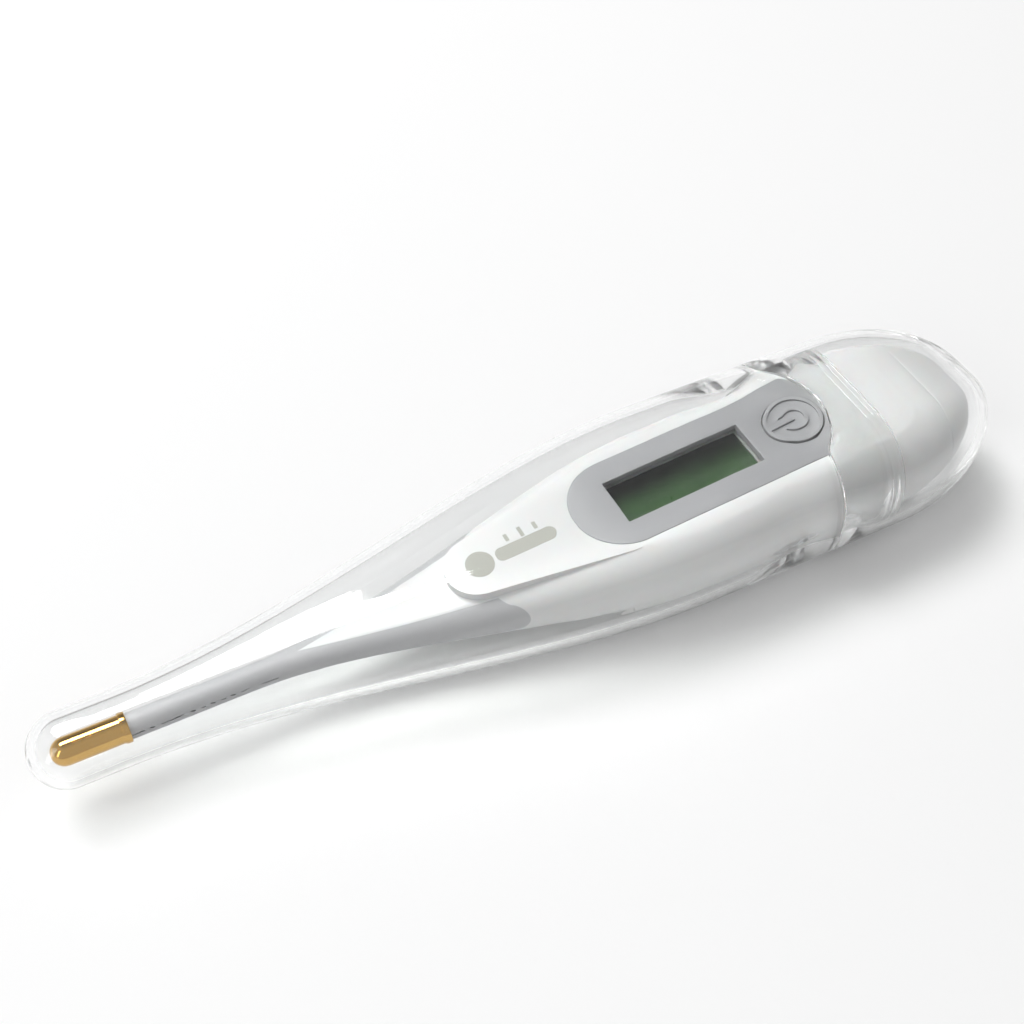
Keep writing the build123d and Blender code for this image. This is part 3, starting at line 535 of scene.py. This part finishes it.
@dataclass(frozen=True)
class Parting:
    """Line where sleeve and cap meet: straight round the sides, with a round tab on top."""

    x: float
    tab_radius: float = 10.9 * MM
    tab_rise: float = 4.3 * MM

    def station(self, section: Section, y: float, z: float) -> float:
        """Place of one point of a section along the length.

        Args:
            section: The section, which follows the tab if it has a tab gap.
            y: The point's side.
            z: The point's height.

        Returns:
            The section's own station, moved rearwards where the tab reaches further.
        """
        if section.tab_gap is None or z < (section.top + section.bottom) / 2:
            return section.x
        radius = self.tab_radius + section.tab_gap
        if abs(y) >= radius:
            return section.x
        return max(section.x, self.x + self.tab_rise - self.tab_radius + sqrt(radius * radius - y * y))


@dataclass
class TravelCase:
    """Clear case: a long sleeve with a neck, and a domed cap that slides over the neck."""

    low: Vector
    high: Vector
    rim: float
    neck_end: float
    tip_radius: float = 5.0 * MM
    tip_height: float = 8.7 * MM
    flare_start: float = 11.0 * MM
    flare_length: float = 82.0 * MM
    dome_length: float = 22.4 * MM
    tip_roundness: float = 0.95
    body_roundness: float = 0.9
    sleeve_wall: float = 1.2 * MM
    ramp: float = 14.0 * MM
    ramp_steps: int = 14
    cap_wall: float = 1.1 * MM
    cap_dome_wall: float = 1.4 * MM
    fit_gap: float = 0.2 * MM
    neck_wall: float = 0.85 * MM
    rim_gap: float = 0.12 * MM
    edge_round: float = 0.14 * MM
    bead_height: float = 0.12 * MM
    bead_pitch: float = 1.1 * MM
    rest_cut: float = 0.25 * MM
    neck_plain: tuple[float, float] = (5.2 * MM, 6.5 * MM)  # stations past the tab, from the rim
    cap_plain: float = 5.4 * MM  # where the cap is free of the tab, from the rim
    tip_steps: int = 18
    flare_steps: int = 40
    dome_steps: int = 24
    shade_angle: float = 42.0
    parting: Parting = field(init=False)

    def __post_init__(self) -> None:
        """Work out the parting line from the cap's rim."""
        self.parting = Parting(self.rim)

    def section(self, x: float, inset: float, rear_inset: float = 0.0,
                tab_gap: Optional[float] = None) -> Section:
        """Section of the case at a station.

        Args:
            x: Station along the length.
            inset: How far the section is moved in from the outside.
            rear_inset: How far the dome's pole is moved in.
            tab_gap: Gap to the tab, for a section on the parting line.

        Returns:
            The rounded section.
        """
        share = ease(x, self.low.x + self.flare_start, self.flare_length)
        half_width = mix(self.tip_radius, self.high.y, share) - inset
        bottom = mix(self.tip_height - self.tip_radius, -self.rest_cut, share) + inset
        top = mix(self.tip_height + self.tip_radius, self.high.z, share) - inset
        size = dome_share(x, self.high.x - self.dome_length, self.high.x - rear_inset)
        middle, half = (bottom + top) / 2, (top - bottom) / 2 * size
        roundness = mix(self.tip_roundness, self.body_roundness, share)
        return Section(x, half_width * size, middle - half, middle + half, roundness, tab_gap)

    def tip_sections(self, inset: float) -> list[Section]:
        """Sections of the round tip, from its pole to its widest.

        Args:
            inset: How far the sections are moved in from the outside.

        Returns:
            The sections in order.
        """
        radius = self.tip_radius - inset
        centre = self.low.x + self.tip_radius
        sections = []
        for x in reversed(dome_stations(centre, centre - radius, self.tip_steps)):
            size = radius * dome_share(x, centre, centre - radius)
            sections.append(Section(x, size, self.tip_height - size, self.tip_height + size,
                                    self.tip_roundness))
        return sections

    def flare_stations(self, end: float) -> list[float]:
        """Stations from the widest place of the round tip to a given end."""
        centre = self.low.x + self.tip_radius
        start = self.low.x + self.flare_start
        stations = [centre, (centre + start) / 2]
        stations += [start + self.flare_length * step / self.flare_steps
                     for step in range(self.flare_steps + 1)]
        straight = start + self.flare_length
        stations += [mix(straight, end, share) for share in (0.25, 0.5, 0.75)]
        return [x for x in stations if x < end]

    def make_sleeve(self) -> bpy.types.Object:
        """Return the sleeve: outside, step, neck with two beads, and inside, in one skin."""
        neck_inset = self.cap_wall + self.fit_gap
        inner = neck_inset + self.neck_wall
        rim, end, soft = self.rim, self.neck_end, self.edge_round
        sections = self.tip_sections(0.0)
        sections += [self.section(x, 0.0) for x in self.flare_stations(rim - 2 * soft)]
        sections += [
            self.section(rim - soft, 0.0, tab_gap=-soft),
            self.section(rim - soft * 0.3, soft * 0.3, tab_gap=-soft * 0.3),
            self.section(rim, soft, tab_gap=0.0),
            self.section(rim, neck_inset, tab_gap=0.0),
        ]
        sections += [self.section(rim + ahead, neck_inset) for ahead in self.neck_plain]
        for bead in (2, 1):
            middle = end - bead * self.bead_pitch
            for step in range(-2, 3):
                lift = self.bead_height * (1 - step * step / 4)
                sections.append(self.section(middle + step * self.bead_height, neck_inset - lift))
        sections += [self.section(end - soft, neck_inset), self.section(end, neck_inset + soft),
                     self.section(end, inner - soft), self.section(end - soft, inner)]
        sections += [self.section(mix(end, rim, 0.5), inner)]
        for step in range(self.ramp_steps + 1):
            share = step / self.ramp_steps
            inset = mix(inner, self.sleeve_wall, ease(share, 0.0, 1.0))
            sections.append(self.section(rim - share * self.ramp, inset))
        inside = self.flare_stations(rim - self.ramp - 2 * soft)
        sections += [self.section(x, self.sleeve_wall) for x in reversed(inside)]
        sections += reversed(self.tip_sections(self.sleeve_wall))
        return draw_skin("clear_sleeve", sections, self.parting, self.shade_angle)

    def make_cap(self) -> bpy.types.Object:
        """Return the cap: dome, side and rim outside, then the same inside, in one skin."""
        dome = self.high.x - self.dome_length
        inner_pole = self.high.x - self.cap_dome_wall
        rim, soft, gap = self.rim + self.rim_gap, self.edge_round, self.rim_gap
        outside = [self.section(x, 0.0)
                   for x in reversed(dome_stations(dome, self.high.x, self.dome_steps))]
        straight = [mix(dome, rim + self.cap_plain, share) for share in (0.0, 0.5, 1.0)]
        outside += [self.section(x, 0.0) for x in straight]
        edge = [
            self.section(rim + soft, 0.0, tab_gap=gap + soft),
            self.section(rim + soft * 0.3, soft * 0.3, tab_gap=gap + soft * 0.3),
            self.section(rim, soft, tab_gap=gap),
            self.section(rim, self.cap_wall - soft, tab_gap=gap),
            self.section(rim + soft, self.cap_wall, tab_gap=gap + soft),
        ]
        inside = [self.section(x, self.cap_wall, rear_inset=self.cap_dome_wall)
                  for x in reversed(straight)]
        inside += [self.section(x, self.cap_wall, rear_inset=self.cap_dome_wall)
                   for x in dome_stations(dome, inner_pole, self.dome_steps)]
        return draw_skin("clear_cap", outside + edge + inside, self.parting, self.shade_angle)

    def build(self) -> None:
        """Make both halves, dress them and let them ride on their bodies."""
        for piece, body, node in ((self.make_sleeve(), "sleeve", "case_sleeve"),
                                  (self.make_cap(), "cap", "case_cap")):
            CLEAR_STYRENE.dress(piece)
            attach(piece, body)
            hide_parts(node)
            report(piece)


# ---------------------------------------------------------------- pieces worked up from the frame
def worked_copy(frame: dict, node: str, name: str) -> bpy.types.Object:
    """Copy a node of the frame as one merged mesh that can be worked on.

    Args:
        node: The node that is copied.
        name: The copy's name.

    Returns:
        The merged copy, with no material and no stored normals.
    """
    deselect_all()
    mesh = frame["nodes"][node].data.copy()
    mesh.materials.clear()
    obj = bpy.data.objects.new(name, mesh)
    bpy.context.scene.collection.objects.link(obj)
    only(obj)
    if mesh.has_custom_normals:
        bpy.ops.mesh.customdata_custom_splitnormals_clear()
    edit(obj)
    bpy.ops.mesh.select_all(action="SELECT")
    bpy.ops.mesh.remove_doubles(threshold=0.002 * MM)
    bpy.ops.mesh.select_all(action="DESELECT")
    bpy.ops.object.mode_set(mode="OBJECT")
    return obj


def soften(obj: bpy.types.Object, width: float, corner: float = 40.0, smooth: float = 30.0) -> None:
    """Round an object's sharp edges as a mould leaves them.

    Args:
        obj: The object.
        width: Width of the rounded edge.
        corner: Turn in degrees past which an edge is rounded.
        smooth: Turn in degrees up to which faces are shaded as one skin.
    """
    only(obj)
    bevel = obj.modifiers.new("edge", "BEVEL")
    bevel.width = width
    bevel.segments = 3
    bevel.limit_method = "ANGLE"
    bevel.angle_limit = radians(corner)
    bevel.use_clamp_overlap = True
    apply_modifiers(obj)
    only(obj)
    bpy.ops.object.shade_smooth_by_angle(angle=radians(smooth))


def report(piece: bpy.types.Object) -> None:
    """Say in the log what a piece is and how many faces it has."""
    log.info("%s: %d faces", piece.name, len(piece.data.polygons))


@dataclass
class Thermometer:
    """The thermometer itself: white shells, grey grip and probe, panel, window, button and print."""

    frame: dict
    flex: Vector
    probe_end: float
    cut_ahead: float = 2.0 * MM
    flare_behind: float = 2.0 * MM
    flex_reach: float = 10.0 * MM
    probe_radius: float = 1.75 * MM
    probe_steps: int = 24
    face_height: float = 14.055 * MM
    face_tilt: float = 5.0
    button_travel: float = 0.5 * MM
    lead_cuts: int = 6

    def make_grip(self) -> bpy.types.Object:
        """Return grip and probe as one soft moulding, drawn out from the grip's cut nose."""
        grip = worked_copy(self.frame, "grip_sheath", "soft_grip_and_probe")
        cut, flare_start = self.flex.x + self.cut_ahead, self.flex.x - self.flare_behind
        edit(grip)
        bpy.ops.mesh.select_all(action="SELECT")
        bpy.ops.mesh.bisect(plane_co=(cut, 0, 0), plane_no=(1, 0, 0), clear_inner=True,
                            threshold=0.0001 * MM)
        near = 0.01 * MM
        axis = Vector((cut, 0, self.flex.z))
        bore = self.probe_radius * 0.8
        choose(grip, lambda co: abs(co.x - cut) < near and (co - axis).length < bore)
        bpy.ops.mesh.edge_face_add()
        choose(grip, lambda co: abs(co.x - cut) < near and (co - axis).length > bore)
        mesh = bmesh.from_edit_mesh(grip.data)
        ring = [vertex for vertex in mesh.verts if vertex.select]
        high, low = max(v.co.z for v in ring), min(v.co.z for v in ring)
        half_width = max(abs(v.co.y) for v in ring)
        centre = Vector((cut, 0, (high + low) / 2))
        stations = [(cut - 1.0 * MM, 0.6), (cut - 2.2 * MM, 0.25), (flare_start, 0.0)]
        stations += [(mix(flare_start, self.probe_end, step / self.probe_steps), 0.0)
                     for step in range(1, self.probe_steps + 1)]
        width, height = half_width, (high - low) / 2
        for x, share in stations:
            bpy.ops.mesh.extrude_region_move()
            step = Vector((x - centre.x, 0, mix(self.flex.z, (high + low) / 2, share) - centre.z))
            new_width = mix(self.probe_radius, half_width, share)
            new_height = mix(self.probe_radius, (high - low) / 2, share)
            bpy.ops.transform.resize(value=(1, new_width / width, new_height / height),
                                     center_override=centre)
            bpy.ops.transform.translate(value=step)
            centre, width, height = centre + step, new_width, new_height
        bpy.ops.mesh.edge_face_add()
        close_edit(grip, 35)
        return grip

    def build_shells(self) -> None:
        """Make the white housing and cover, the panel, the button, the window and the metal tip."""
        work = (
            ("main_housing", "white_housing", WHITE_ABS, 0.16 * MM, "thermometer", "white_plastic"),
            ("battery_cover", "white_battery_cover", WHITE_ABS, 0.12 * MM, "cover", "white_plastic"),
            ("face_panel", "grey_face_panel", GREY_ABS, 0.12 * MM, "thermometer", "grey_rubber"),
            ("power_button", "grey_power_button", GREY_ABS, 0.1 * MM, "button", "grey_rubber"),
            ("window_lens", "clear_window", CLEAR_ACRYLIC, 0.08 * MM, "thermometer", "display_glass"),
            ("metal_tip", "gold_probe_tip", GOLD_PLATE, 0.05 * MM, "probe", "gold_metal"),
        )
        for node, name, finish, edge, body, slot in work:
            piece = worked_copy(self.frame, node, name)
            soften(piece, edge)
            finish.dress(piece)
            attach(piece, body)
            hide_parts(node)
            report(piece)

    def build_grip(self) -> None:
        """Make the soft grip and probe as one piece, in place of the frame's grip and stem."""
        grip = self.make_grip()
        GREY_ELASTOMER.dress(grip)
        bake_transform(grip)
        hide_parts("grip_sheath", "probe_stem")
        report(grip)

    def build_switch(self) -> None:
        """Make the steel dome under the button."""
        switch = worked_copy(self.frame, "dome_switch", "steel_dome_switch")
        only(switch)
        bpy.ops.object.shade_smooth_by_angle(angle=radians(30))
        SPRING_STEEL.dress(switch)
        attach(switch, "thermometer")
        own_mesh(switch)
        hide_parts("dome_switch")
        report(switch)

    def build_leads(self) -> None:
        """Make the two sensor wires in the probe, cut into short lengths about the probe's flex point.
        """
        leads = worked_copy(self.frame, "thermistor_leads", "sensor_leads")
        edit(leads)
        for step in range(-self.lead_cuts, self.lead_cuts + 1):
            bpy.ops.mesh.select_all(action="SELECT")
            station = self.flex.x + self.flex_reach * step / self.lead_cuts
            bpy.ops.mesh.bisect(plane_co=(station, 0, 0), plane_no=(1, 0, 0), threshold=0.0001 * MM)
        close_edit(leads, 30)
        COPPER_WIRE.dress(leads)
        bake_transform(leads)
        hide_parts("thermistor_leads")
        report(leads)

    def on_face(self, obj: bpy.types.Object) -> None:
        """Turn and lift a flat drawing, made about the origin, on to the sloping face."""
        tilt = Matrix.Rotation(-radians(self.face_tilt), 4, "Y")
        obj.matrix_world = Matrix.Translation((0, 0, self.face_height)) @ tilt @ obj.matrix_world
        settle(obj)

    def build_print(self) -> None:
        """Print a plain thermometer sign in front of the panel: tube, bulb and scale marks."""
        thick = 0.05 * MM
        bulb_x, bulb_radius, tube_half, tube_end = -11.1 * MM, 2.0 * MM, 1.05 * MM, 0.6 * MM
        gap, first_mark, last_mark, mark_side = 0.45 * MM, -6.0 * MM, -1.6 * MM, 2.1 * MM
        deselect_all()
        bpy.ops.mesh.primitive_cylinder_add(vertices=48, radius=bulb_radius, depth=thick,
                                            location=(bulb_x, 0, 0))
        parts = [bpy.context.object]
        settle(parts[0])
        deselect_all()
        bpy.ops.mesh.primitive_cylinder_add(vertices=32, radius=tube_half, depth=thick,
                                            location=(tube_end - tube_half, 0, 0))
        tube = bpy.context.object
        settle(tube)
        edit(tube)
        middle = tube_end - tube_half
        choose(tube, lambda co: co.x < middle - 0.001 * MM)
        bpy.ops.transform.translate(value=(bulb_x + bulb_radius + gap + tube_half - middle, 0, 0))
        bpy.ops.object.mode_set(mode="OBJECT")
        parts.append(tube)
        for mark in range(3):
            deselect_all()
            place = (mix(first_mark, last_mark, mark / 2), mark_side, 0)
            bpy.ops.mesh.primitive_cube_add(size=1, location=place)
            bar = bpy.context.object
            bar.scale = (0.55 * MM, (1.7 if mark == 1 else 1.2) * MM, thick)
            settle(bar)
            parts.append(bar)
        sign = join(parts, "printed_thermometer_sign")
        self.on_face(sign)
        only(sign)
        PRINT_INK.dress(sign)
        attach(sign, "thermometer")
        report(sign)

    def build(self) -> None:
        """Make every piece of the thermometer that shows."""
        self.build_shells()
        self.build_grip()
        self.build_print()
        self.build_switch()
        self.build_leads()


@dataclass
class Works:
    """The pieces inside, which keep the frame's shapes and get their real finishes."""

    frame: dict
    finishes: dict[str, Finish] = field(default_factory=lambda: {
        "cover_seal": BLACK_RUBBER, "thermistor_bead": DARK_RESIN, "tip_potting": DARK_RESIN,
        "display_carrier": WHITE_ABS, "display_cell": LIQUID_CRYSTAL,
        "display_reflector": REFLECTOR_FILM, "contact_strips": BLACK_RUBBER,
        "circuit_board": BOARD_RESIST, "carrier_screws": SPRING_STEEL,
        "controller_blob": DARK_RESIN, "timing_crystal": SPRING_STEEL, "chip_parts": DARK_RESIN,
        "buzzer_plate": BRASS_SHEET, "buzzer_ceramic": BUZZER_CERAMIC, "buzzer_leads": COPPER_WIRE,
        "battery_cell": SPRING_STEEL, "battery_tray": WHITE_ABS, "contact_negative": SPRING_STEEL,
        "contact_positive": SPRING_STEEL,
    })

    def build(self) -> None:
        """Dress every inner piece."""
        for node, finish in self.finishes.items():
            finish.dress(self.frame["nodes"][node])
            log.info("%s: %s", node, finish.name)


# ---------------------------------------------------------------- studio
@dataclass
class Studio:
    """Pale floor, soft light from high on the far side, and the camera."""

    floor_size: float = 4.0
    floor_colour: str = "#F6F6F6"
    world_strength: float = 0.61
    flag_strength: float = 0.12
    flag_outer: float = 62.0
    flag_inner: float = 16.0
    target: Vector = field(default_factory=lambda: Vector((-0.6, 10.47, 8.0)) * MM)
    distance: float = 209.28 * MM
    azimuth: float = -28.89
    elevation: float = 48.95
    roll: float = 1.79
    lens: float = 50.96
    light_turns: int = 128  # clear walls inside clear walls pass light through many faces

    def make_floor(self) -> None:
        """Lay the floor just under the case."""
        deselect_all()
        bpy.ops.mesh.primitive_plane_add(size=self.floor_size, location=(0, 0, -0.02 * MM))
        floor = bpy.context.object
        floor.name = "floor"
        settle(floor)
        paper = Finish("Matt paper floor", self.floor_colour, self.floor_colour, roughness=0.9,
                       grain_size=5 * MM, relief=0.001 * MM)
        paper.dress(floor)

    def make_room(self) -> None:
        """Set the room's even light, with a dim flag on the far side that keeps the window clear."""
        world = bpy.data.worlds.new("room")
        world.use_nodes = True
        tree = world.node_tree
        az, el = radians(self.azimuth), radians(self.elevation)
        flag = (-sin(az) * cos(el), cos(az) * cos(el), sin(el))
        place = add_node(tree, "ShaderNodeTexCoord")
        facing = add_node(tree, "ShaderNodeVectorMath", {"operation": "DOT_PRODUCT"},
                          i0=place.outputs["Generated"], i1=flag)
        level = add_node(tree, "ShaderNodeMapRange", {"interpolation_type": "SMOOTHSTEP"},
                         Value=facing.outputs["Value"], From_Min=cos(radians(self.flag_outer)),
                         From_Max=cos(radians(self.flag_inner)), To_Min=self.world_strength,
                         To_Max=self.flag_strength)
        tree.links.new(level.outputs["Result"], tree.nodes["Background"].inputs["Strength"])
        tree.nodes["Background"].inputs["Color"].default_value = (1, 1, 1, 1)
        bpy.context.scene.world = world

    def make_lights(self) -> None:
        """Hang the soft boxes in the lit room."""
        self.make_room()
        lamps = (
            ("key_box", (-0.25, 0.62, 1.1), 0.45, 0.45, 11.0),
            ("side_box", (-0.5, -0.2, 0.3), 0.12, 0.5, 0.5),
        )
        for name, place, width, height, power in lamps:
            deselect_all()
            bpy.ops.object.light_add(type="AREA", location=place)
            lamp = bpy.context.object
            lamp.name = name
            lamp.data.shape = "RECTANGLE"
            lamp.data.size, lamp.data.size_y = width, height
            lamp.data.energy = power
            aim = Vector((0, 0, 10 * MM)) - Vector(place)
            lamp.rotation_euler = aim.to_track_quat("-Z", "Y").to_euler()

    def make_camera(self) -> None:
        """Stand the camera at its angle, with its slight roll."""
        az, el, roll = radians(self.azimuth), radians(self.elevation), radians(self.roll)
        back = Vector((sin(az) * cos(el), -cos(az) * cos(el), sin(el)))
        right = Vector((cos(az), sin(az), 0))
        up = back.cross(right)
        turned_right = right * cos(roll) + up * sin(roll)
        turned_up = up * cos(roll) - right * sin(roll)
        data = bpy.data.cameras.new("camera")
        data.lens, data.sensor_width = self.lens, 36.0
        data.clip_start = 1 * MM
        camera = bpy.data.objects.new("camera", data)
        bpy.context.scene.collection.objects.link(camera)
        turn = Matrix((turned_right, turned_up, back)).transposed().to_4x4()
        camera.matrix_world = Matrix.Translation(self.target + back * self.distance) @ turn
        bpy.context.scene.camera = camera

    def build(self) -> None:
        """Make floor, light and camera."""
        self.make_floor()
        self.make_lights()
        self.make_camera()
        scene = bpy.context.scene
        scene.view_settings.view_transform = "Standard"
        scene.cycles.max_bounces = self.light_turns
        scene.cycles.transmission_bounces = self.light_turns
        scene.cycles.glossy_bounces = self.light_turns


def main() -> None:
    """Build the looks around the frame."""
    logging.basicConfig(level=logging.INFO, format="%(message)s")
    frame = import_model()
    sleeve_low, sleeve_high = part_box("case_sleeve")
    cap_low, cap_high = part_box("case_cap")
    low = Vector((sleeve_low.x, sleeve_low.y, 0.0))
    case = TravelCase(low=low, high=cap_high, rim=cap_low.x - TravelCase.rim_gap,
                      neck_end=sleeve_high.x)
    flex = next(Vector(joint["pos_m"]) for joint in frame["joints"] if joint["name"] == "probe_flex")
    _, tip_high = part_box("metal_tip")
    for part in (case, Thermometer(frame, flex, tip_high.x), Works(frame), Studio()):
        part.build()


if __name__ == "__main__":
    main()
